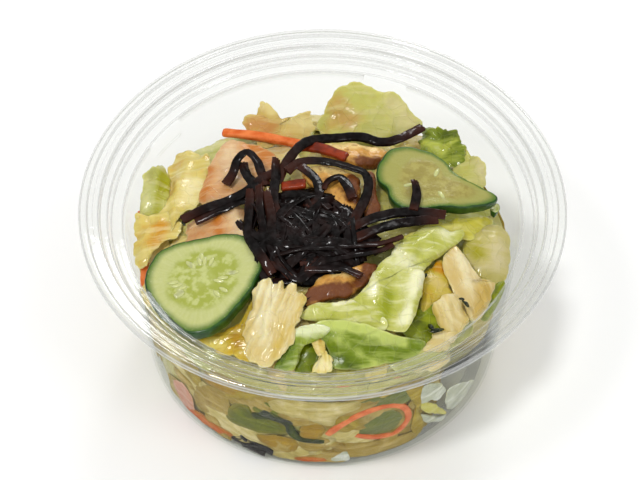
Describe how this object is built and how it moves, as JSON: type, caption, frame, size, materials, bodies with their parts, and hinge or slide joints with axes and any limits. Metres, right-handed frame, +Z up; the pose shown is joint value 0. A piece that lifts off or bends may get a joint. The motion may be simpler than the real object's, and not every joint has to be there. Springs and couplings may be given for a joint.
{
  "type": "bowl of pickled cabbage",
  "caption": "Clear deli cup filled with lightly pickled cabbage, topped with cucumber slices, carrot, fried tofu and simmered seaweed strips.",
  "frame": {"origin": "centre of the cup on the plane it stands on", "axes": "+Z up along the cup's axis; -Y is the front, the side of the cup the picture looks at; +X is to the right of it"},
  "size_m": [0.129, 0.129, 0.0542],
  "materials": {
    "clear_plastic": "clear, thin and glossy",
    "cabbage_leaf": "wet, translucent leaf and stem",
    "kelp": "wet and glossy simmered seaweed",
    "cucumber": "moist flesh with a dark green peel",
    "carrot": "moist",
    "carrot_simmered": "moist, stained by sauce",
    "fried_tofu": "soft wrinkled skin, moist"
  },
  "bodies": {
    "root": {"cup": "clear_plastic", "cabbage": "cabbage_leaf", "kelp": "kelp", "kelp_wall": "kelp", "cucumber_left": "cucumber", "cucumber_right": "cucumber", "cucumber_end": "cucumber", "cucumber_wall": "cucumber", "carrot_top": "carrot", "carrot_left_a": "carrot", "carrot_left_b": "carrot", "carrot_wall": "carrot", "carrot_stained_a": "carrot_simmered", "carrot_stained_b": "carrot_simmered", "tofu_back": "fried_tofu", "tofu_mid": "fried_tofu", "tofu_side": "fried_tofu", "tofu_front": "fried_tofu"}
  },
  "joints": []
}
